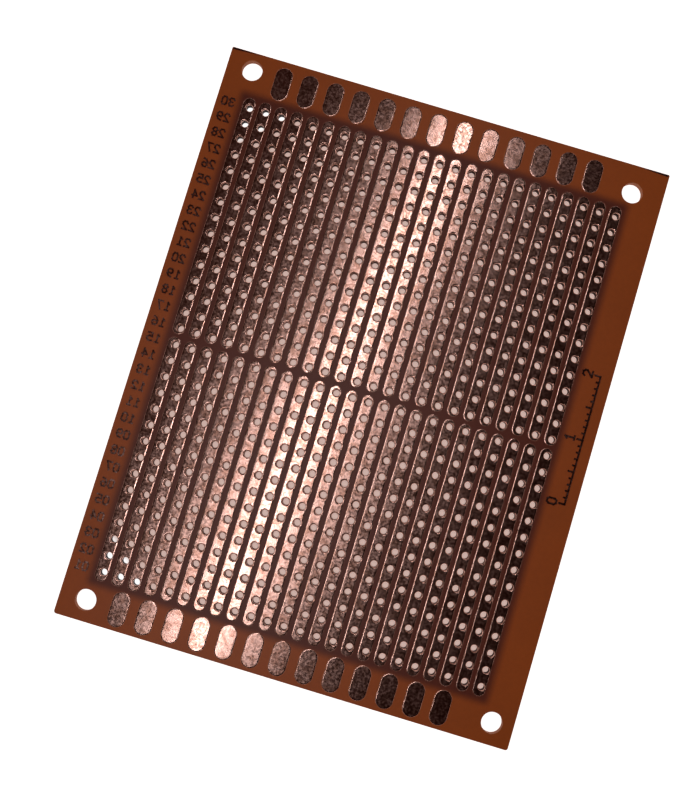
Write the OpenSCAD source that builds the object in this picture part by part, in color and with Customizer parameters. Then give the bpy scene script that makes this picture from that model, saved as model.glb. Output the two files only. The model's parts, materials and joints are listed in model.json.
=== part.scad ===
/* [Board] */
// Width of the laminate board, along X
board_w = 70; // [68:1:100]
// Length of the laminate board, along Y, the way the strips run
board_l = 90; // [86:1:130]
// Thickness of the laminate
board_t = 1.2; // [0.8:0.1:2.0]
// Corner radius at the end with row 01
corner_r_lower = 0.4; // [0.1:0.1:2]
// Corner radius at the end with the highest row
corner_r_upper = 0.2; // [0.1:0.1:2]

/* [Lead holes] */
// Spacing of the lead holes, both ways
pitch = 2.54; // [2.3:0.01:2.56]
// Number of hole columns, which is the number of strip lines
hole_cols = 24; // [4:1:24]
// Number of hole rows, shared by two strips in each column
hole_rows = 30; // [4:2:30]
// Diameter of a lead hole
lead_hole_d = 1.0; // [0.8:0.05:1.1]
// Outer diameter of the foil rim that is drawn into each lead hole
rim_d = 1.24; // [1.15:0.01:1.3]
// Depth that the rim is drawn below the laminate's top face
rim_depth = 0.12; // [0.06:0.02:0.3]
// Offset of the hole field from the board's centre, along X
field_x = -0.44; // [-0.8:0.01:0.8]
// Offset of the hole field from the board's centre, along Y
field_y = -0.38; // [-0.8:0.01:0.8]

/* [Copper] */
// Thickness of the copper foil
foil_t = 0.035; // [0.018:0.001:0.105]
// Width of one strip
strip_w = 1.86; // [1.8:0.01:2.1]
// Gap between the two strips of one column, at the middle of the board
split_gap = 0.52; // [0.3:0.02:0.9]
// Length of a strip beyond its outermost hole centre
strip_reach = 1.48; // [1.2:0.02:1.6]
// Offset of the whole foil pattern from the hole field, along X
print_x = -0.24; // [-0.26:0.01:0.1]
// Offset of the whole foil pattern from the hole field, along Y
print_y = 0.06; // [-0.1:0.01:0.1]

/* [Connector pads] */
// Number of pads in each row
pad_count = 13; // [1:1:13]
// Spacing of the pads
pad_pitch = 4.14; // [3.2:0.01:4.2]
// Width of one pad
pad_w = 2.68; // [1.5:0.01:2.9]
// Length of one pad
pad_l = 5.25; // [3:0.05:5.5]
// Share of the upper end's spare length that lies between the strips and the pads
pad_share_upper = 0.455; // [0.1:0.005:0.9]
// Share of the lower end's spare length that lies between the strips and the pads
pad_share_lower = 0.5; // [0.1:0.005:0.9]
// Offset of the upper pads from the strips' middle, along X
pad_row_x_upper = -0.50; // [-0.6:0.05:0.6]
// Offset of the lower pads from the strips' middle, along X
pad_row_x_lower = -0.32; // [-0.6:0.02:0.6]

/* [Mounting holes] */
// Diameter of the four mounting holes
mount_hole_d = 3.2; // [2:0.1:3.4]
// Distance of the upper left hole from the side and the end
inset_upper_left = [3.97, 2.80]; // [2.4:0.01:6]
// Distance of the upper right hole from the side and the end
inset_upper_right = [4.80, 4.31]; // [2.4:0.01:6]
// Distance of the lower left hole from the side and the end
inset_lower_left = [4.00, 3.15]; // [2.4:0.01:6]
// Distance of the lower right hole from the side and the end
inset_lower_right = [3.29, 3.24]; // [2.4:0.01:6]

/* [Legend] */
// Height of the row numbers
number_h = 1.48; // [1:0.02:1.8]
// Distance between the two figures of a row number
number_step = 1.14; // [1:0.02:1.4]
// Line width of the row numbers
number_line = 0.26; // [0.15:0.01:0.35]
// Distance from the first column's strips to the middle of the row numbers
number_offset = 3.24; // [2.7:0.02:3.6]
// Length of the centimetre scale in the right margin
scale_l = 20; // [10:10:50]
// Distance from the board's middle up to the middle of the scale
scale_y = 2.1; // [-10:0.1:10]
// Distance from the right edge to the middle of the scale
scale_inset = 3.14; // [2.6:0.02:3.4]
// Height of the scale's numerals
scale_number_h = 1.7; // [1:0.05:2]
// Line width of the scale
scale_line = 0.3; // [0.2:0.02:0.4]

/* [Hidden] */
sides = ["upper", "lower"];
strip_nodes = [
    for (col = [1 : hole_cols])
        for (side = sides)
            strip_name(col, side)
];
laminate_colour = "saddlebrown";
copper_colour = "peru";
round_fn = 48;
cut_over = 0.02;
holes_each = hole_rows / 2;
half_field_x = (hole_cols - 1) * pitch / 2;
half_field_y = (hole_rows - 1) * pitch / 2;
strip_end_y = half_field_y + strip_reach;
rim_slope = (rim_d - lead_hole_d) / 2 / rim_depth;
foil_x = field_x + print_x;
foil_y = field_y + print_y;
mark_l = 4.6;
mark_w = 0.32;
mark_inset = 0.06;
mark_step = 0.6;
long_tick = 1.1;
short_tick = 0.65;
scale_foot_x = 1.5;
scale_figure_x = -0.65;

// Polylines of the ten numerals, in a cell one unit high and 0.6 wide
numerals = [
    [[[0.15, 0], [0, 0.2], [0, 0.8], [0.15, 1], [0.45, 1], [0.6, 0.8], [0.6, 0.2], [0.45, 0], [0.15, 0]]],
    [[[0.1, 0.8], [0.3, 1], [0.3, 0]], [[0.1, 0], [0.5, 0]]],
    [[[0, 0.8], [0.15, 1], [0.45, 1], [0.6, 0.8], [0.6, 0.6], [0, 0], [0.6, 0]]],
    [[[0, 0.85], [0.15, 1], [0.45, 1], [0.6, 0.8], [0.45, 0.52], [0.2, 0.52]],
     [[0.45, 0.52], [0.6, 0.25], [0.45, 0], [0.15, 0], [0, 0.15]]],
    [[[0.45, 0], [0.45, 1], [0, 0.3], [0.6, 0.3]]],
    [[[0.6, 1], [0.05, 1], [0, 0.55], [0.4, 0.6], [0.6, 0.4], [0.6, 0.2], [0.4, 0], [0, 0.05]]],
    [[[0.5, 1], [0.2, 0.9], [0, 0.6], [0, 0.2], [0.15, 0], [0.45, 0], [0.6, 0.2], [0.6, 0.4]],
     [[0.6, 0.4], [0.45, 0.55], [0, 0.45]]],
    [[[0, 1], [0.6, 1], [0.2, 0]]],
    [[[0.15, 0.52], [0, 0.75], [0.15, 1], [0.45, 1], [0.6, 0.75], [0.45, 0.52], [0.15, 0.52]],
     [[0.15, 0.52], [0, 0.25], [0.15, 0], [0.45, 0], [0.6, 0.25], [0.45, 0.52]]],
    [[[0.1, 0], [0.4, 0.1], [0.6, 0.4], [0.6, 0.8], [0.45, 1], [0.15, 1], [0, 0.8], [0, 0.6]],
     [[0, 0.6], [0.15, 0.45], [0.6, 0.55]]]
];
numeral_w = 0.6;

function strip_name(col, side) = str("strip_", col < 10 ? "0" : "", col, "_", side);
function col_x(col) = (col - 1) * pitch - half_field_x;
function row_y(row) = (row - 1) * pitch - half_field_y;

// A flat bar with fully rounded ends, between two points on one Y line
module rounded_bar(y_low, y_high, width) {
    r = width / 2;
    translate([-r, y_low + r]) square([width, y_high - y_low - width]);
    translate([0, y_low + r]) circle(r = r, $fn = round_fn);
    translate([0, y_high - r]) circle(r = r, $fn = round_fn);
}

// The laminate's outline, lying on its middle
module board_outline() {
    rl = corner_r_lower;
    ru = corner_r_upper;
    x = board_w / 2;
    y = board_l / 2;
    translate([-x + rl, -y]) square([board_w - 2 * rl, board_l - ru]);
    translate([-x, -y + rl]) square([board_w, board_l - rl - ru]);
    translate([-x + ru, 0]) square([board_w - 2 * ru, y]);
    for (s = [-1, 1]) {
        translate([s * (x - rl), -y + rl]) circle(r = rl, $fn = round_fn);
        translate([s * (x - ru), y - ru]) circle(r = ru, $fn = round_fn);
    }
}

// The four mounting holes, each measured from its own corner
module mounting_holes() {
    x = board_w / 2;
    y = board_l / 2;
    translate([-x + inset_upper_left.x, y - inset_upper_left.y])
        circle(d = mount_hole_d, $fn = round_fn);
    translate([x - inset_upper_right.x, y - inset_upper_right.y])
        circle(d = mount_hole_d, $fn = round_fn);
    translate([-x + inset_lower_left.x, -y + inset_lower_left.y])
        circle(d = mount_hole_d, $fn = round_fn);
    translate([x - inset_lower_right.x, -y + inset_lower_right.y])
        circle(d = mount_hole_d, $fn = round_fn);
}

// Places a child at every lead hole
module at_lead_holes() {
    for (col = [1 : hole_cols])
        for (row = [1 : hole_rows])
            translate([field_x + col_x(col), field_y + row_y(row)]) children();
}

// The cone that a drawn rim lies in, running a little past both of its ends
module rim_seat() {
    over = cut_over;
    translate([0, 0, -rim_depth - over])
        cylinder(
            h = rim_depth + 2 * over,
            r1 = lead_hole_d / 2 - over * rim_slope,
            r2 = rim_d / 2 + over * rim_slope,
            $fn = round_fn
        );
}

// Foil drawn into the mouth of one lead hole, from the laminate's top face
module drawn_rim() {
    rotate_extrude($fn = round_fn)
        polygon([
            [rim_d / 2, 0],
            [rim_d / 2, foil_t],
            [lead_hole_d / 2, foil_t - rim_depth],
            [lead_hole_d / 2, -rim_depth]
        ]);
}

// Phenolic paper laminate with its lead holes and mounting holes
module board() {
    color(laminate_colour)
        difference() {
            linear_extrude(board_t)
                difference() {
                    board_outline();
                    mounting_holes();
                    at_lead_holes() circle(d = lead_hole_d, $fn = round_fn);
                }
            translate([0, 0, board_t]) at_lead_holes() rim_seat();
        }
}

// One copper strip with its row of holes, and a rim drawn into each of them
module strip(col, side) {
    upper = side == "upper";
    first_row = upper ? holes_each + 1 : 1;
    y_low = upper ? split_gap / 2 : -strip_end_y;
    y_high = upper ? strip_end_y : -split_gap / 2;
    color(copper_colour)
        translate([0, 0, board_t]) {
            linear_extrude(foil_t)
                difference() {
                    translate([foil_x + col_x(col), foil_y]) rounded_bar(y_low, y_high, strip_w);
                    for (row = [first_row : first_row + holes_each - 1])
                        translate([field_x + col_x(col), field_y + row_y(row)])
                            circle(d = rim_d, $fn = round_fn);
                }
            for (row = [first_row : first_row + holes_each - 1])
                translate([field_x + col_x(col), field_y + row_y(row)]) drawn_rim();
        }
}

// A row of oblong connector pads beyond one end of the strips
module pad_row(side) {
    upper = side == "upper";
    spare = board_l / 2 - strip_end_y - (upper ? foil_y : -foil_y) - pad_l;
    near = strip_end_y + spare * (upper ? pad_share_upper : pad_share_lower);
    y_low = upper ? near : -near - pad_l;
    middle_x = upper ? pad_row_x_upper : pad_row_x_lower;
    color(copper_colour)
        translate([foil_x + middle_x, foil_y, board_t])
            linear_extrude(foil_t)
                for (i = [0 : pad_count - 1])
                    translate([(i - (pad_count - 1) / 2) * pad_pitch, 0])
                        rounded_bar(y_low, y_low + pad_l, pad_w);
}

// A line of even width with square ends, run on by half its width
module stroke(a, b, line) {
    run = b - a;
    translate(a)
        rotate(atan2(run.y, run.x))
            translate([-line / 2, -line / 2]) square([norm(run) + line, line]);
}

// One numeral drawn in strokes, centred on its cell, plain or mirrored
module numeral(value, height, line, flip = 1) {
    h = height - line;
    for (path = numerals[value])
        for (i = [0 : len(path) - 2])
            stroke(
                [flip * (path[i].x - numeral_w / 2) * h, (path[i].y - 0.5) * h],
                [flip * (path[i + 1].x - numeral_w / 2) * h, (path[i + 1].y - 0.5) * h],
                line
            );
}

// Two-figure row numbers in the left margin, mirrored as on the copper side
module row_numbers() {
    x = foil_x - half_field_x - number_offset;
    color(copper_colour)
        translate([x, foil_y, board_t])
            linear_extrude(foil_t)
                for (row = [1 : hole_rows])
                    translate([0, row_y(row)]) {
                        translate([number_step / 2, 0])
                            numeral(floor(row / 10), number_h, number_line, -1);
                        translate([-number_step / 2, 0])
                            numeral(row % 10, number_h, number_line, -1);
                    }
}

// Plain centimetre scale in the right margin, with ticks and numerals
module centimetre_scale() {
    color(copper_colour)
        translate([board_w / 2 - scale_inset, scale_y, board_t])
            linear_extrude(foil_t) {
                translate([scale_foot_x - scale_line, -(scale_l + scale_line) / 2])
                    square([scale_line, scale_l + scale_line]);
                for (mm = [0 : 1 : scale_l])
                    let (tick = mm % 5 == 0 ? long_tick : short_tick)
                        translate([scale_foot_x - tick, mm - (scale_l + scale_line) / 2])
                            square([tick, scale_line]);
                for (mm = [0 : 10 : scale_l])
                    translate([scale_figure_x, mm - scale_l / 2])
                        rotate(90) numeral(mm / 10, scale_number_h, scale_line);
            }
}

// Slivers of the trimming outline, left along the edge at both upper corners
module corner_marks() {
    x = board_w / 2 - corner_r_upper;
    y = board_l / 2 - mark_inset;
    color(copper_colour)
        translate([0, 0, board_t])
            linear_extrude(foil_t)
                for (s = [-1, 1])
                    polygon([
                        [s * x, y],
                        [s * (x - mark_l), y],
                        [s * (x - mark_l * mark_step), y - mark_w / 2],
                        [s * x, y - mark_w]
                    ]);
}

board();
for (col = [1 : hole_cols])
    for (side = sides)
        strip(col, side);
pad_row("upper");  // pads_upper
pad_row("lower");  // pads_lower
row_numbers();
centimetre_scale();
corner_marks();
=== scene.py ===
"""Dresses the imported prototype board: foil with soft edges, finishes, studio and camera."""

import json
import logging
import math
import random
from collections.abc import Callable
from dataclasses import dataclass, field
from enum import Enum

import bmesh
import bpy
from mathutils import Euler, Matrix, Vector

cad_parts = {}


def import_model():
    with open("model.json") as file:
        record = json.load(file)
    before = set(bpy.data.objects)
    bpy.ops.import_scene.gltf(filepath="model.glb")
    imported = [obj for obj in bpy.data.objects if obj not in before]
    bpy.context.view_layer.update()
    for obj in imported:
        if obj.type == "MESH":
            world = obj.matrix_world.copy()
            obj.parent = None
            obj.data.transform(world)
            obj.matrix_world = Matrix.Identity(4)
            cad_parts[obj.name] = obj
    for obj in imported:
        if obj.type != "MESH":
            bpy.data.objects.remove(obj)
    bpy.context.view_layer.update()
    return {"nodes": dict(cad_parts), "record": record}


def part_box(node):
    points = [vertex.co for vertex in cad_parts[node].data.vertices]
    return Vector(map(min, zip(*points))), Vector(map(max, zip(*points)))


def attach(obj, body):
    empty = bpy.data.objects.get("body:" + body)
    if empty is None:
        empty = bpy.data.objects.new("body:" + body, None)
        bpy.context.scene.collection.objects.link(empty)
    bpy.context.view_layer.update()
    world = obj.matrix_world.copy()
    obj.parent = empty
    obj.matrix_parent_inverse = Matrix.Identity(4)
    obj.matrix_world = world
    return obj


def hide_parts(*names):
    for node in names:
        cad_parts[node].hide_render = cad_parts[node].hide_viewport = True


LOG = logging.getLogger("prototype_board")
MM = 0.001
NORMAL_WEIGHT = 80


class Side(Enum):
    """Which half of a column a strip lies on, or which end a pad row lies at."""

    LOWER = "lower"
    UPPER = "upper"


def linear(colour: str) -> tuple[float, float, float, float]:
    """Turns an sRGB hex colour into the linear colour that the shaders take.

    Args:
        colour: six hex digits after a hash sign.

    Returns:
        The linear red, green and blue, and an alpha of 1.
    """
    parts = [int(colour[i : i + 2], 16) / 255 for i in (1, 3, 5)]
    turned = [c / 12.92 if c <= 0.04045 else ((c + 0.055) / 1.055) ** 2.4 for c in parts]
    return (*turned, 1.0)


def add_node(
    tree: bpy.types.NodeTree, kind: str, inputs: dict | None = None, **settings: object
) -> bpy.types.Node:
    """Adds a node with its settings, its socket values and its links.

    Args:
        tree: the node tree that gets the node.
        kind: the node's type name.
        inputs: socket name or number to a value, or to the output socket that feeds it.
        settings: the node's own properties.

    Returns:
        The new node.
    """
    node = tree.nodes.new(kind)
    for name, value in settings.items():
        setattr(node, name, value)
    for name, value in (inputs or {}).items():
        if isinstance(value, bpy.types.NodeSocket):
            tree.links.new(value, node.inputs[name])
        else:
            node.inputs[name].default_value = value
    return node


def inside_field(
    tree: bpy.types.NodeTree,
    place: bpy.types.NodeSocket,
    low: Vector,
    high: Vector,
    fade: float,
) -> bpy.types.NodeSocket:
    """Adds a mask that is 1 over the strips' field and fades to 0 round it.

    Args:
        tree: the node tree.
        place: object coordinates.
        low: lowest corner of the field.
        high: highest corner of the field.
        fade: how far outside the field the mask reaches 0, in metres.

    Returns:
        The socket that carries the mask.
    """
    axes = add_node(tree, "ShaderNodeSeparateXYZ", {0: place}).outputs
    mask = None
    for axis in (0, 1):
        for edge, way in ((low[axis], 1), (high[axis], -1)):
            step = add_node(
                tree,
                "ShaderNodeMapRange",
                {"Value": axes[axis], "From Min": edge - way * fade, "From Max": edge},
                interpolation_type="SMOOTHSTEP",
            ).outputs[0]
            if mask is None:
                mask = step
            else:
                mask = add_node(
                    tree, "ShaderNodeMath", {0: mask, 1: step}, operation="MULTIPLY"
                ).outputs[0]
    return mask


# ---------------------------------------------------------------- finishes


@dataclass(frozen=True)
class ScrubbedCopper:
    """Bare copper foil, rolled, etched and scrubbed with fine pumice, lightly oxidised.

    The pumice leaves smoother and rougher patches about as wide as its clumps, and hardly
    any depth. So a highlight breaks up into grains at its edge, the foil goes nearly black
    where it mirrors the dark, and a thin oxide film dulls it in blots.
    """

    name: str = "copper_foil_scrubbed"
    clean: str = "#F6C1B3"
    oxidised: str = "#CB9685"
    mottle_mm: float = 0.21
    mottle_depth_mm: float = 0.0004
    pit_mm: float = 0.40
    pit_depth_mm: float = 0.0005
    cloud_mm: float = 6.0
    film_mm: float = 0.9
    brush_length_mm: float = 2.6
    brush_width_mm: float = 0.20
    brush_depth_mm: float = 0.0008
    brush_turn_deg: float = 6.0
    roughness_low: float = 0.116
    roughness_high: float = 0.205
    dish_mm: float = 0.020
    dish_reach_mm: float = 0.74
    noise_roughness: float = 0.6
    grain_share: float = 0.8
    cloud_share: float = 0.2
    pit_range: tuple[float, float] = (0.56, 0.72)
    tarnish_range: tuple[float, float] = (0.40, 0.60)
    film_range: tuple[float, float] = (0.44, 0.60)

    def material(self, holes: "LeadHoles | None" = None) -> bpy.types.Material:
        """Builds the node material of the foil.

        Args:
            holes: the lead holes that the foil sinks towards, or None for plain foil.

        Returns:
            The foil's material.
        """
        made = bpy.data.materials.new(self.name)
        made.use_nodes = True
        tree = made.node_tree
        tree.nodes.clear()
        place = add_node(tree, "ShaderNodeTexCoord").outputs["Object"]
        mottle, grains, cloud, film = (
            add_node(
                tree,
                "ShaderNodeTexNoise",
                {
                    "Vector": place,
                    "Scale": 1 / (size * MM),
                    "Detail": detail,
                    "Roughness": self.noise_roughness,
                },
            ).outputs[0]
            for size, detail in (
                (self.mottle_mm, 0.0),
                (self.pit_mm, 2.0),
                (self.cloud_mm, 2.0),
                (self.film_mm, 2.0),
            )
        )
        tarnish = self._sum(tree, [(grains, self.grain_share), (cloud, self.cloud_share)])
        pits, roughness, stain = (
            add_node(
                tree,
                "ShaderNodeMapRange",
                {
                    "Value": source,
                    "From Min": span[0],
                    "From Max": span[1],
                    "To Min": least,
                    "To Max": most,
                },
            ).outputs[0]
            for source, span, least, most in (
                (grains, self.pit_range, 0.0, 1.0),
                (tarnish, self.tarnish_range, self.roughness_low, self.roughness_high),
                (film, self.film_range, 0.0, 1.0),
            )
        )
        heights = [
            (mottle, self.mottle_depth_mm),
            (pits, -self.pit_depth_mm),
            (self._brushing(tree, place), self.brush_depth_mm),
        ]
        if holes is not None:
            heights.append((self._dishes(tree, place, holes), self.dish_mm))
        bump = add_node(
            tree,
            "ShaderNodeBump",
            {"Height": self._sum(tree, heights), "Strength": 1.0, "Distance": MM},
        ).outputs[0]
        colour = add_node(
            tree,
            "ShaderNodeMix",
            {0: stain, 6: linear(self.clean), 7: linear(self.oxidised)},
            data_type="RGBA",
        ).outputs[2]
        shader = add_node(
            tree,
            "ShaderNodeBsdfPrincipled",
            {"Base Color": colour, "Metallic": 1.0, "Roughness": roughness, "Normal": bump},
        )
        add_node(tree, "ShaderNodeOutputMaterial", {"Surface": shader.outputs[0]})
        return made

    def _brushing(
        self, tree: bpy.types.NodeTree, place: bpy.types.NodeSocket
    ) -> bpy.types.NodeSocket:
        """Adds long thin streaks that run the way the foil was brushed.

        Args:
            tree: the node tree.
            place: object coordinates.

        Returns:
            The socket that carries the streaks' height.
        """
        turned = add_node(
            tree,
            "ShaderNodeMapping",
            {"Vector": place, "Rotation": (0.0, 0.0, math.radians(self.brush_turn_deg))},
        ).outputs[0]
        length, width = self.brush_length_mm * MM, self.brush_width_mm * MM
        drawn = add_node(
            tree,
            "ShaderNodeMapping",
            {"Vector": turned, "Scale": (1 / length, 1 / width, 1 / length)},
        ).outputs[0]
        return add_node(
            tree, "ShaderNodeTexNoise", {"Vector": drawn, "Scale": 1.0, "Detail": 1.0}
        ).outputs[0]

    def _dishes(
        self, tree: bpy.types.NodeTree, place: bpy.types.NodeSocket, holes: "LeadHoles"
    ) -> bpy.types.NodeSocket:
        """Adds a height that sinks towards every lead hole of the grid.

        Args:
            tree: the node tree.
            place: object coordinates.
            holes: the lead holes.

        Returns:
            The socket that carries the height, 0 at a hole and 1 between the holes.
        """
        axes = add_node(tree, "ShaderNodeSeparateXYZ", {0: place}).outputs
        pitch = holes.pitch_mm() * MM
        squares = []
        for axis in (0, 1):
            from_first = add_node(
                tree, "ShaderNodeMath", {0: axes[axis], 1: holes.first[axis]}, operation="SUBTRACT"
            ).outputs[0]
            shifted = add_node(
                tree, "ShaderNodeMath", {0: from_first, 1: pitch / 2}, operation="ADD"
            ).outputs[0]
            nearest = add_node(
                tree, "ShaderNodeMath", {0: shifted, 1: pitch}, operation="SNAP"
            ).outputs[0]
            off = add_node(
                tree, "ShaderNodeMath", {0: from_first, 1: nearest}, operation="SUBTRACT"
            ).outputs[0]
            squares.append(
                add_node(tree, "ShaderNodeMath", {0: off, 1: off}, operation="MULTIPLY").outputs[0]
            )
        total = add_node(
            tree, "ShaderNodeMath", {0: squares[0], 1: squares[1]}, operation="ADD"
        ).outputs[0]
        reach = add_node(tree, "ShaderNodeMath", {0: total}, operation="SQRT").outputs[0]
        return add_node(
            tree,
            "ShaderNodeMapRange",
            {
                "Value": reach,
                "From Min": holes.hole_r_mm * MM,
                "From Max": self.dish_reach_mm * MM,
            },
            interpolation_type="SMOOTHSTEP",
        ).outputs[0]

    @staticmethod
    def _sum(
        tree: bpy.types.NodeTree, shares: list[tuple[bpy.types.NodeSocket, float]]
    ) -> bpy.types.NodeSocket:
        """Adds up several factors, each times its share.

        Args:
            tree: the node tree.
            shares: pairs of a factor's socket and its share.

        Returns:
            The socket that carries the sum.
        """
        total = None
        for socket, share in shares:
            scaled = add_node(
                tree, "ShaderNodeMath", {0: socket, 1: share, 2: 0.0}, operation="MULTIPLY_ADD"
            )
            if total is not None:
                tree.links.new(total, scaled.inputs[2])
            total = scaled.outputs[0]
        return total


@dataclass(frozen=True)
class PhenolicPaper:
    """Phenolic-resin paper laminate, pressed smooth, seen as a glossy orange brown.

    The resin lets a little light through, so the bare margins look warmer and lighter
    than the gaps that the foil shades; that shade is painted into the gaps' colour.
    Shearing leaves the edges pale and dull, and the hole walls under the foil get a
    darker painted shade.
    """

    margin: str = "#BE5915"
    # painted shade: the laminate between the strips, darker where the foil shades it
    shaded_between_strips: str = "#70290F"
    sheared_edge: str = "#9C5628"
    # painted shade: the hole walls under the foil, darker than the sheared edges
    shaded_hole_wall: str = "#40180A"
    fibre_mm: float = 0.5
    cloud_mm: float = 9.0
    fade_mm: float = 1.6
    roughness: float = 0.38
    sheared_roughness: float = 0.80
    ior: float = 1.52
    fibre_contrast: float = 0.16
    cloud_contrast: float = 0.20
    fibre_depth_mm: float = 0.002
    level_above: float = 0.9
    upright_below: float = 0.3

    def material(self, low: Vector, high: Vector) -> bpy.types.Material:
        """Builds the node material of the laminate.

        Args:
            low: lowest corner of the field that the strips cover, in metres.
            high: highest corner of that field, in metres.

        Returns:
            The laminate's material.
        """
        made = bpy.data.materials.new("phenolic_paper_laminate")
        made.use_nodes = True
        tree = made.node_tree
        tree.nodes.clear()
        place = add_node(tree, "ShaderNodeTexCoord").outputs["Object"]
        facing = add_node(
            tree,
            "ShaderNodeSeparateXYZ",
            {0: add_node(tree, "ShaderNodeNewGeometry").outputs["Normal"]},
        ).outputs[2]
        not_below = add_node(
            tree,
            "ShaderNodeMapRange",
            {"Value": facing, "From Min": -self.level_above, "From Max": -self.upright_below},
        ).outputs[0]
        level = add_node(tree, "ShaderNodeMath", {0: facing}, operation="ABSOLUTE").outputs[0]
        sheared = add_node(
            tree,
            "ShaderNodeMapRange",
            {"Value": level, "From Min": self.level_above, "From Max": self.upright_below},
        ).outputs[0]
        roughness = add_node(
            tree,
            "ShaderNodeMapRange",
            {"Value": sheared, "To Min": self.roughness, "To Max": self.sheared_roughness},
        ).outputs[0]
        covered = inside_field(tree, place, low, high, self.fade_mm * MM)
        shade = add_node(
            tree, "ShaderNodeMath", {0: covered, 1: not_below}, operation="MULTIPLY"
        ).outputs[0]
        fibre = add_node(
            tree,
            "ShaderNodeTexNoise",
            {"Vector": place, "Scale": 1 / (self.fibre_mm * MM), "Detail": 4.0},
        ).outputs[0]
        cloud = add_node(
            tree,
            "ShaderNodeTexNoise",
            {"Vector": place, "Scale": 1 / (self.cloud_mm * MM), "Detail": 2.0},
        ).outputs[0]
        # painted shade: inside the strips' field the top and the hole walls take the darker shaded
        # colours
        pressed, cut = (
            add_node(
                tree, "ShaderNodeMix", {0: shade, 6: linear(bare), 7: linear(dim)}, data_type="RGBA"
            ).outputs[2]
            for bare, dim in (
                (self.margin, self.shaded_between_strips),
                (self.sheared_edge, self.shaded_hole_wall),
            )
        )
        base = add_node(
            tree, "ShaderNodeMix", {0: sheared, 6: pressed, 7: cut}, data_type="RGBA"
        ).outputs[2]
        value = add_node(
            tree,
            "ShaderNodeMath",
            {0: fibre, 1: self.fibre_contrast, 2: 1 - self.fibre_contrast / 2},
            operation="MULTIPLY_ADD",
        ).outputs[0]
        drift = add_node(
            tree,
            "ShaderNodeMath",
            {0: cloud, 1: self.cloud_contrast, 2: -self.cloud_contrast / 2},
            operation="MULTIPLY_ADD",
        ).outputs[0]
        brightness = add_node(
            tree, "ShaderNodeMath", {0: value, 1: drift}, operation="ADD"
        ).outputs[0]
        colour = add_node(
            tree,
            "ShaderNodeHueSaturation",
            {"Value": brightness, "Color": base},
        ).outputs[0]
        bump = add_node(
            tree,
            "ShaderNodeBump",
            {"Height": fibre, "Strength": 1.0, "Distance": self.fibre_depth_mm * MM},
        ).outputs[0]
        shader = add_node(
            tree,
            "ShaderNodeBsdfPrincipled",
            {
                "Base Color": colour,
                "Roughness": roughness,
                "IOR": self.ior,
                "Normal": bump,
            },
        )
        add_node(tree, "ShaderNodeOutputMaterial", {"Surface": shader.outputs[0]})
        return made


# ---------------------------------------------------------------- modelling helpers


def deselect() -> None:
    """Leaves edit mode and deselects every object."""
    if bpy.context.mode != "OBJECT":
        bpy.ops.object.mode_set(mode="OBJECT")
    bpy.ops.object.select_all(action="DESELECT")


def activate(*objects: bpy.types.Object) -> None:
    """Selects the objects alone and makes the first one active.

    Args:
        objects: the objects to select.
    """
    deselect()
    for one in objects:
        one.select_set(True)
    bpy.context.view_layer.objects.active = objects[0]


def edit_selection(
    obj: bpy.types.Object, part: str = "FACE", keep: Callable[..., bool] | None = None
) -> None:
    """Goes into edit mode and selects the corners, edges or faces that keep() accepts.

    Args:
        obj: the object to edit.
        part: VERT, EDGE or FACE.
        keep: a test of one corner, edge or face, or None for all of them.
    """
    activate(obj)
    bpy.ops.object.mode_set(mode="EDIT")
    bpy.ops.mesh.select_mode(type=part)
    bpy.ops.mesh.select_all(action="DESELECT")
    mesh = bmesh.from_edit_mesh(obj.data)
    for one in {"VERT": mesh.verts, "EDGE": mesh.edges, "FACE": mesh.faces}[part]:
        one.select_set(keep is None or bool(keep(one)))
    mesh.select_flush_mode()
    bmesh.update_edit_mesh(obj.data)


def to_metres(obj: bpy.types.Object) -> None:
    """Shrinks a piece modelled in millimetres to metres, with its place in its mesh.

    Args:
        obj: the piece.
    """
    activate(obj)
    obj.scale = (MM, MM, MM)
    bpy.ops.object.transform_apply(location=True, rotation=True, scale=True)


def copy_by(obj: bpy.types.Object, name: str, offset: Vector) -> bpy.types.Object:
    """Copies a piece with its own mesh and moves the copy's mesh by offset.

    Args:
        obj: the piece to copy.
        name: the copy's name.
        offset: how far its mesh moves.

    Returns:
        The copy.
    """
    made = obj.copy()
    made.data = obj.data.copy()
    made.name = made.data.name = name
    made.data.transform(Matrix.Translation(offset))
    bpy.context.collection.objects.link(made)
    return made


def apply_weighted_normals(obj: bpy.types.Object) -> None:
    """Shades a piece smooth while its flat faces keep their own normals.

    Args:
        obj: the piece.
    """
    activate(obj)
    bpy.ops.object.shade_smooth()
    weighted = obj.modifiers.new("weighted", "WEIGHTED_NORMAL")
    weighted.mode = "FACE_AREA"
    weighted.weight = NORMAL_WEIGHT
    bpy.ops.object.modifier_apply(modifier=weighted.name)


@dataclass(frozen=True)
class FoilEdge:
    """The etched and scrubbed shoulder round every piece of foil, in millimetres."""

    shoulder: float = 0.150
    flank: float = 0.030
    shoulder_share: float = 0.60
    flank_share: float = 0.22


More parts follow.
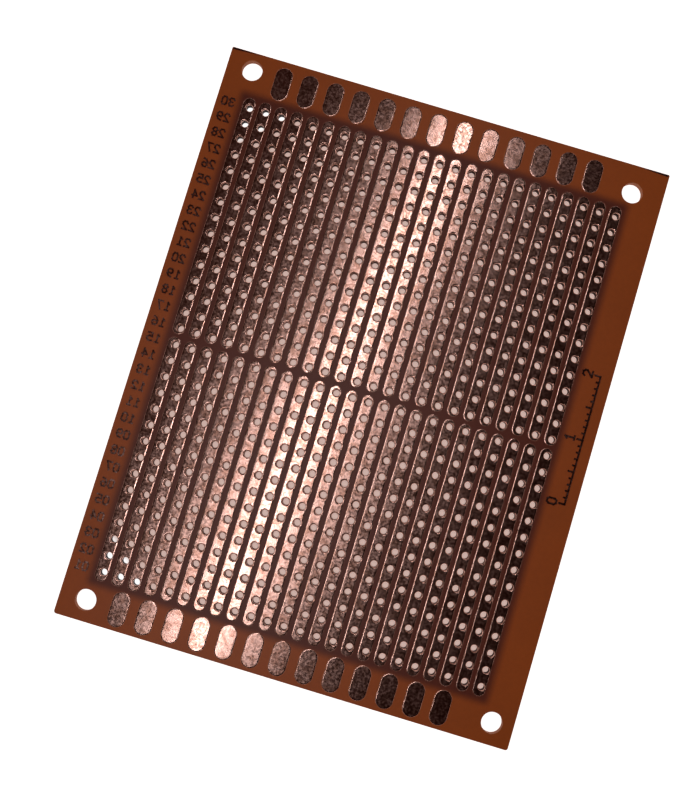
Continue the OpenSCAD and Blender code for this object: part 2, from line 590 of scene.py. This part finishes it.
def rounded_foil(
    name: str, low: Vector, high: Vector, edge: FoilEdge, end_sides: int
) -> bpy.types.Object:
    """Models a flat foil bar with fully rounded ends and a soft upper edge.

    A ring with flats along both sides is pulled apart into a bar, raised to the flank's
    height, and stepped in twice up to the foil's flat top.

    Args:
        name: the piece's name.
        low: lowest corner, in millimetres.
        high: highest corner, in millimetres.
        edge: the shape of its shoulder.
        end_sides: flats round one rounded end.

    Returns:
        The foil bar, in millimetres.
    """
    deselect()
    half_width = (high.x - low.x) / 2
    thick = high.z - low.z
    half_step = math.pi / (2 * end_sides)
    middle = Vector((low.x + half_width, low.y + half_width, low.z))
    bpy.ops.mesh.primitive_circle_add(
        vertices=2 * end_sides,
        radius=half_width / math.cos(half_step),
        fill_type="NGON",
        location=middle,
        rotation=(0.0, 0.0, half_step),
    )
    bar = bpy.context.object
    bar.name = name
    bpy.ops.object.transform_apply(location=True, rotation=True, scale=True)
    edit_selection(bar, part="VERT", keep=lambda v: v.co.y > middle.y)
    bpy.ops.transform.translate(value=(0.0, high.y - low.y - 2 * half_width, 0.0))
    bpy.ops.mesh.select_mode(type="FACE")
    bpy.ops.mesh.select_all(action="SELECT")
    bpy.ops.mesh.extrude_region_move(
        TRANSFORM_OT_translate={"value": (0.0, 0.0, thick * edge.flank_share)}
    )
    bpy.ops.mesh.inset(
        thickness=edge.flank, depth=thick * (edge.shoulder_share - edge.flank_share)
    )
    bpy.ops.mesh.inset(thickness=edge.shoulder, depth=thick * (1 - edge.shoulder_share))
    bpy.ops.mesh.select_all(action="SELECT")
    bpy.ops.mesh.normals_make_consistent(inside=False)
    bpy.ops.object.mode_set(mode="OBJECT")
    return bar


# ---------------------------------------------------------------- the board's pieces


@dataclass
class LeadHoles:
    """The grid of lead holes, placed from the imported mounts.

    The foil rolls over into every hole. Each ring of that mouth is a radius and a depth
    below the foil's top, from the hole outwards.
    """

    first: Vector
    last: Vector
    columns: int = 24
    rows: int = 30
    hole_r_mm: float = 0.5
    roll_r_mm: float = 0.70
    rim_r_mm: float = 0.62
    rim_depth_mm: float = 0.12
    rim_edge_mm: float = 0.005
    mouth_mm: tuple[tuple[float, float], ...] = ((0.545, 0.048), (0.585, 0.018), (0.635, 0.006))
    segments: int = 20

    @classmethod
    def from_record(cls, record: dict) -> "LeadHoles":
        """Reads the first and the last hole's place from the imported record."""
        places = {m["name"]: Vector(m["pos_m"]) for m in record["mounts"]}
        return cls(places["lead_hole_first"], places["lead_hole_last"])

    def row_y_mm(self, row: int) -> float:
        """Gives a row's place along Y, in millimetres."""
        share = (row - 1) / (self.rows - 1)
        return (self.first.y + (self.last.y - self.first.y) * share) / MM

    def pitch_mm(self) -> float:
        """Gives the spacing of the holes, in millimetres."""
        return (self.last.x - self.first.x) / (self.columns - 1) / MM

    def column_x_mm(self, column: int) -> float:
        """Gives a column's place along X, in millimetres."""
        share = (column - 1) / (self.columns - 1)
        return (self.first.x + (self.last.x - self.first.x) * share) / MM


@dataclass
class CopperStrips:
    """The 48 strips of foil, each with a rim drawn into the mouths of its 15 holes."""

    holes: LeadHoles
    laminate_top: float
    edge: FoilEdge = field(default_factory=FoilEdge)
    end_sides: int = 16
    rim_wobble_mm: float = 0.022
    wobble_reach_mm: float = 0.03
    depth_wobble: float = 0.30
    pieces: list[bpy.types.Object] = field(default_factory=list)

    def build(self) -> None:
        """Models one lower and one upper strip and copies them to every column."""
        for side in Side:
            master = self._model_strip(side)
            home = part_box(f"strip_01_{side.value}")[0]
            for column in range(1, self.holes.columns + 1):
                node = f"strip_{column:02d}_{side.value}"
                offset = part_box(node)[0] - home
                piece = copy_by(master, f"foil_{column:02d}_{side.value}", offset)
                self._vary_rims(piece, column, side)
                apply_weighted_normals(piece)
                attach(piece, "root")
                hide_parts(node)
                self.pieces.append(piece)
            bpy.data.objects.remove(master)
        LOG.info("copper strips: %d pieces", len(self.pieces))

    def dress(self, finish: bpy.types.Material) -> None:
        """Gives every strip the foil's finish.

        Args:
            finish: the foil's material.
        """
        for piece in self.pieces:
            piece.data.materials.clear()
            piece.data.materials.append(finish)

    def _rows(self, side: Side) -> range:
        """Gives the rows whose holes one strip has."""
        half = self.holes.rows // 2
        return range(half + 1, self.holes.rows + 1) if side is Side.UPPER else range(1, half + 1)

    def _model_strip(self, side: Side) -> bpy.types.Object:
        """Models the strip of column 1 on one side, drilled and with its rims.

        Args:
            side: which half of the column.

        Returns:
            The strip, in metres.
        """
        low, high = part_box(f"strip_01_{side.value}")
        low, high = low / MM, high / MM
        low.z = self.laminate_top / MM
        strip = rounded_foil("strip_master", low, high, self.edge, self.end_sides)
        centres = [
            Vector((self.holes.column_x_mm(1), self.holes.row_y_mm(row), low.z))
            for row in self._rows(side)
        ]
        self._punch(strip, centres, high.z - low.z)
        edit_selection(strip)
        bpy.ops.mesh.normals_make_consistent(inside=False)
        bpy.ops.object.mode_set(mode="OBJECT")
        to_metres(strip)
        return strip

    def _punch(self, strip: bpy.types.Object, centres: list[Vector], thick: float) -> None:
        """Adds a closed plug at every hole and cuts the rolled-over mouth out of it.

        Both tools are closed solids, so the strip stays closed where a mouth meets its edge.

        Args:
            strip: the strip, in millimetres.
            centres: the holes' centres on the laminate's top face.
            thick: the foil's thickness.
        """
        inner, outer, deep = self.holes.hole_r_mm, self.holes.roll_r_mm, self.holes.rim_depth_mm
        plug = [
            (inner + self.holes.rim_edge_mm, -deep),
            (self.holes.rim_r_mm, 0.0),
            (self.holes.rim_r_mm, thick / 4),
        ]
        last_radius, last_drop = self.holes.mouth_mm[-1]
        mouth = [
            (inner, -2 * deep),
            (inner, -deep),
            *((radius, thick - drop) for radius, drop in self.holes.mouth_mm),
            (2 * outer - last_radius, thick + last_drop),
        ]
        for profile, operation in ((plug, "UNION"), (mouth, "DIFFERENCE")):
            first = self._turned(profile, centres[0])
            others = [copy_by(first, "tool", centre - centres[0]) for centre in centres[1:]]
            activate(first, *others)
            bpy.ops.object.join()
            tool = bpy.context.object
            cut = strip.modifiers.new("punch", "BOOLEAN")
            cut.operation = operation
            cut.solver = "EXACT"
            cut.object = tool
            activate(strip)
            bpy.ops.object.modifier_apply(modifier=cut.name)
            bpy.data.objects.remove(tool)

    def _turned(self, profile: list[tuple[float, float]], centre: Vector) -> bpy.types.Object:
        """Models a closed solid turned round a hole's axis.

        Args:
            profile: radius and height of each ring, from the lowest up, in millimetres.
            centre: the hole's centre on the laminate's top face.

        Returns:
            The solid, in millimetres.
        """
        radius, height = profile[0]
        deselect()
        bpy.ops.mesh.primitive_circle_add(
            vertices=self.holes.segments,
            radius=radius,
            fill_type="NGON",
            location=centre + Vector((0, 0, height)),
        )
        solid = bpy.context.object
        bpy.ops.object.transform_apply(location=True, rotation=True, scale=True)
        edit_selection(solid)
        for next_radius, next_height in profile[1:]:
            bpy.ops.mesh.extrude_region_move(
                TRANSFORM_OT_translate={"value": (0, 0, next_height - height)}
            )
            share = next_radius / radius
            bpy.ops.transform.resize(
                value=(share, share, 1.0),
                center_override=(centre.x, centre.y, centre.z + next_height),
            )
            radius, height = next_radius, next_height
        bpy.ops.mesh.select_all(action="SELECT")
        bpy.ops.mesh.normals_make_consistent(inside=False)
        bpy.ops.object.mode_set(mode="OBJECT")
        return solid

    def _vary_rims(self, piece: bpy.types.Object, column: int, side: Side) -> None:
        """Makes each punched rim a little deeper, shallower or off centre.

        Args:
            piece: the strip, in metres.
            column: its column.
            side: its side.
        """
        draw = random.Random(f"{column}-{side.value}")
        top = self.laminate_top
        inner = (self.holes.hole_r_mm + self.wobble_reach_mm) * MM
        outer = (self.holes.rim_r_mm + self.wobble_reach_mm) * MM
        x = self.holes.column_x_mm(column) * MM
        centres = [Vector((x, self.holes.row_y_mm(row) * MM)) for row in self._rows(side)]
        shifts = [
            Vector((draw.uniform(-1, 1), draw.uniform(-1, 1))) * self.rim_wobble_mm * MM
            for _ in centres
        ]
        depths = [1 - draw.uniform(0, self.depth_wobble) for _ in centres]
        for vertex in piece.data.vertices:
            nearest = min(range(len(centres)), key=lambda i: (vertex.co.xy - centres[i]).length)
            reach = (vertex.co.xy - centres[nearest]).length
            if inner < reach < outer and vertex.co.z > top:
                vertex.co.xy += shifts[nearest]
                vertex.co.z = top + (vertex.co.z - top) * depths[nearest]


@dataclass
class ConnectorPads:
    """The two rows of 13 oblong pads beyond the strips' ends."""

    count: int = 13
    width_mm: float = 2.68
    edge: FoilEdge = field(default_factory=FoilEdge)
    end_sides: int = 24
    pieces: list[bpy.types.Object] = field(default_factory=list)

    def build(self) -> None:
        """Models the first pad of each row and copies it along the row."""
        for side in Side:
            node = f"pads_{side.value}"
            low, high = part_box(node)
            low, high = low / MM, high / MM
            pitch = (high.x - low.x - self.width_mm) / (self.count - 1)
            first_high = Vector((low.x + self.width_mm, high.y, high.z))
            master = rounded_foil("pad_master", low, first_high, self.edge, self.end_sides)
            to_metres(master)
            row = [
                copy_by(master, f"pad_{i}", Vector((i * pitch * MM, 0, 0)))
                for i in range(self.count)
            ]
            bpy.data.objects.remove(master)
            activate(*row)
            bpy.ops.object.join()
            piece = bpy.context.object
            piece.name = f"connector_pads_{side.value}"
            apply_weighted_normals(piece)
            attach(piece, "root")
            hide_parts(node)
            self.pieces.append(piece)
        LOG.info("connector pads: %d rows of %d", len(self.pieces), self.count)

    def dress(self, finish: bpy.types.Material) -> None:
        """Gives both rows the foil's finish.

        Args:
            finish: the foil's material.
        """
        for piece in self.pieces:
            piece.data.materials.clear()
            piece.data.materials.append(finish)


@dataclass
class FrameNodes:
    """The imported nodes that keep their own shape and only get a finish."""

    nodes: dict[str, bpy.types.Object]
    foil_nodes: tuple[str, ...] = ("row_numbers", "centimetre_scale", "corner_marks")

    def dress(self, laminate: bpy.types.Material, foil: bpy.types.Material) -> None:
        """Gives the board the laminate's finish and the margins' figures the foil's.

        Args:
            laminate: the board's material.
            foil: the material of the figures, the scale and the corner marks.
        """
        finishes = {"board": laminate, **{name: foil for name in self.foil_nodes}}
        for name, finish in finishes.items():
            mesh = self.nodes[name].data
            mesh.materials.clear()
            mesh.materials.append(finish)
        LOG.info("dressed frame nodes: %s", ", ".join(finishes))


# ---------------------------------------------------------------- studio


@dataclass
class Studio:
    """A white light table, a soft low dome and one long lamp above the board.

    The table glows less right below the board's hole field, which the board shades.
    """

    shaded_low: Vector
    shaded_high: Vector
    shade_fade: float = 0.002
    open_corner: tuple[float, float] = (0.0095, 0.0075)
    table_size: float = 3.0
    dome_strength: tuple[float, float, float] = (1.10, 1.01, 0.93)
    dome_full_below: float = 0.30
    dome_dark_above: float = 0.52
    lamp_height: float = 0.50
    lamp_length: float = 0.42
    lamp_width: float = 0.014
    lamp_centre: tuple[float, float] = (-0.022, 0.041)
    lamp_turn_deg: float = -10.8
    lamp_power: float = 0.137
    near_lamp_share: float = 0.50
    near_lamp_power: float = 0.077
    table_glow: str = "#FFFFFF"
    shaded_glow: str = "#BFA197"
    upper_left: str = "#24100A"
    upper_right: str = "#140300"
    upper_turn: float = 0.2
    table_colour: str = "#F2F1F0"
    table_roughness: float = 0.9
    corner_fade: tuple[float, float] = (0.85, 1.05)

    def build(self) -> None:
        """Builds the table, the dome and the lamp."""
        self._table()
        self._dome()
        self._lamp()
        LOG.info("studio: table, dome and lamp")

    def _table(self) -> None:
        """Adds the plain pale table that the board lies on.

        It is opal acrylic lit from below, which the eye sees as an even white with no
        reflections, a little dimmer through the holes where the board shades it.
        """
        deselect()
        bpy.ops.mesh.primitive_plane_add(size=self.table_size, location=(0, 0, 0))
        table = bpy.context.object
        table.name = "table"
        made = bpy.data.materials.new("white_light_table")
        made.use_nodes = True
        tree = made.node_tree
        tree.nodes.clear()
        place = add_node(tree, "ShaderNodeTexCoord").outputs["Object"]
        covered = inside_field(tree, place, self.shaded_low, self.shaded_high, self.shade_fade)
        shaded = add_node(
            tree,
            "ShaderNodeMath",
            {0: covered, 1: self._away_from_left_corners(tree, place)},
            operation="MULTIPLY",
        ).outputs[0]
        glow = add_node(
            tree,
            "ShaderNodeMix",
            {0: shaded, 6: linear(self.table_glow), 7: linear(self.shaded_glow)},
            data_type="RGBA",
        ).outputs[2]
        shader = add_node(
            tree,
            "ShaderNodeBsdfPrincipled",
            {
                "Base Color": linear(self.table_colour),
                "Roughness": self.table_roughness,
                "Emission Color": glow,
                "Emission Strength": 1.0,
            },
        )
        add_node(tree, "ShaderNodeOutputMaterial", {"Surface": shader.outputs[0]})
        table.data.materials.append(made)

    def _away_from_left_corners(
        self, tree: bpy.types.NodeTree, place: bpy.types.NodeSocket
    ) -> bpy.types.NodeSocket:
        """Adds a mask that is 0 below the hole field's two left corners and 1 elsewhere.

        Args:
            tree: the table's node tree.
            place: object coordinates.

        Returns:
            The socket that carries the mask.
        """
        axes = add_node(tree, "ShaderNodeSeparateXYZ", {0: place}).outputs
        middle_y = (self.shaded_low.y + self.shaded_high.y) / 2
        half_y = self.shaded_high.y - middle_y
        off_middle = add_node(
            tree, "ShaderNodeMath", {0: axes[1], 1: middle_y}, operation="SUBTRACT"
        ).outputs[0]
        from_middle = add_node(
            tree, "ShaderNodeMath", {0: off_middle}, operation="ABSOLUTE"
        ).outputs[0]
        across, along = self.open_corner
        in_from_end = add_node(
            tree,
            "ShaderNodeMath",
            {0: from_middle, 1: -1 / along, 2: half_y / along},
            operation="MULTIPLY_ADD",
        ).outputs[0]
        reach = add_node(
            tree,
            "ShaderNodeMath",
            {0: axes[0], 1: 1 / across, 2: -self.shaded_low.x / across},
            operation="MULTIPLY_ADD",
        ).outputs[0]
        total = add_node(
            tree, "ShaderNodeMath", {0: reach, 1: in_from_end}, operation="ADD"
        ).outputs[0]
        shut, full = self.corner_fade
        return add_node(
            tree, "ShaderNodeMapRange", {"Value": total, "From Min": shut, "From Max": full}
        ).outputs[0]

    def _dome(self) -> None:
        """Lights the scene evenly from low all round and leaves the zenith dark."""
        world = bpy.data.worlds.new("soft_dome")
        bpy.context.scene.world = world
        world.use_nodes = True
        tree = world.node_tree
        tree.nodes.clear()
        way = add_node(tree, "ShaderNodeTexCoord").outputs["Generated"]
        axes = add_node(tree, "ShaderNodeSeparateXYZ", {0: way}).outputs
        right = add_node(
            tree,
            "ShaderNodeMapRange",
            {"Value": axes[0], "From Min": -self.upper_turn, "From Max": self.upper_turn},
        ).outputs[0]
        upper = add_node(
            tree,
            "ShaderNodeMix",
            {0: right, 6: linear(self.upper_left), 7: linear(self.upper_right)},
            data_type="RGBA",
        ).outputs[2]
        rise = add_node(
            tree,
            "ShaderNodeMapRange",
            {
                "Value": axes[2],
                "From Min": self.dome_full_below,
                "From Max": self.dome_dark_above,
            },
            interpolation_type="SMOOTHSTEP",
        ).outputs[0]
        dome = (*self.dome_strength, 1.0)
        colour = add_node(
            tree, "ShaderNodeMix", {0: rise, 6: dome, 7: upper}, data_type="RGBA"
        ).outputs[2]
        back = add_node(tree, "ShaderNodeBackground", {"Color": colour})
        add_node(tree, "ShaderNodeOutputWorld", {"Surface": back.outputs[0]})

    def _lamp(self) -> None:
        """Hangs the long lamp that the strips mirror, brighter at its near end."""
        turn = Euler((0.0, 0.0, math.radians(self.lamp_turn_deg)))
        centre = Vector((*self.lamp_centre, self.lamp_height))
        near_length = self.lamp_length * self.near_lamp_share
        to_near = Vector((0.0, (near_length - self.lamp_length) / 2, 0.0))
        to_near.rotate(turn)
        for name, place, length, power in (
            ("long_lamp", centre, self.lamp_length, self.lamp_power),
            ("near_lamp", centre + to_near, near_length, self.near_lamp_power),
        ):
            data = bpy.data.lights.new(name, "AREA")
            data.shape = "RECTANGLE"
            data.size = self.lamp_width
            data.size_y = length
            data.energy = power
            lamp = bpy.data.objects.new(name, data)
            lamp.location = place
            lamp.rotation_euler = turn
            bpy.context.scene.collection.objects.link(lamp)


@dataclass
class OverheadCamera:
    """A camera close above the board, almost upright, turned a little round its axis."""

    place_mm: tuple[float, float, float] = (-0.11, -12.38, 151.3)
    turn_deg: tuple[float, float, float] = (3.952, -0.291, 16.722)
    lens_mm: float = 45.0
    sensor_mm: float = 36.0
    nearest: float = 0.005
    farthest: float = 20.0

    def build(self) -> None:
        """Adds the camera and makes it the scene's own."""
        data = bpy.data.cameras.new("camera")
        data.lens = self.lens_mm
        data.sensor_width = self.sensor_mm
        data.clip_start = self.nearest
        data.clip_end = self.farthest
        camera = bpy.data.objects.new("camera", data)
        camera.location = Vector(self.place_mm) * MM
        camera.rotation_euler = Euler([math.radians(a) for a in self.turn_deg])
        bpy.context.scene.collection.objects.link(camera)
        bpy.context.scene.camera = camera
        LOG.info("camera at %s", tuple(camera.location))


def main() -> None:
    """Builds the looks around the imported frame, piece by piece."""
    logging.basicConfig(level=logging.INFO, format="%(name)s: %(message)s")
    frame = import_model()
    holes = LeadHoles.from_record(frame["record"])
    copper = ScrubbedCopper().material()
    punched = ScrubbedCopper(name="copper_foil_punched").material(holes)
    brushed = ScrubbedCopper(
        name="copper_foil_brushed", brush_width_mm=0.14, brush_depth_mm=0.0014, brush_turn_deg=38.0
    ).material()
    field_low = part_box("strip_01_lower")[0]
    field_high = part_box(f"strip_{holes.columns:02d}_upper")[1]
    laminate = PhenolicPaper().material(field_low, field_high)
    FrameNodes(frame["nodes"]).dress(laminate, copper)
    strips = CopperStrips(holes, laminate_top=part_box("board")[1].z)
    strips.build()
    strips.dress(punched)
    pads = ConnectorPads()
    pads.build()
    pads.dress(brushed)
    for piece in (*strips.pieces, *pads.pieces):
        LOG.info("%s: %d faces", piece.name, len(piece.data.polygons))
    Studio(field_low, field_high).build()
    OverheadCamera().build()
    bpy.context.scene.view_settings.view_transform = "Standard"


if __name__ == "__main__":
    main()
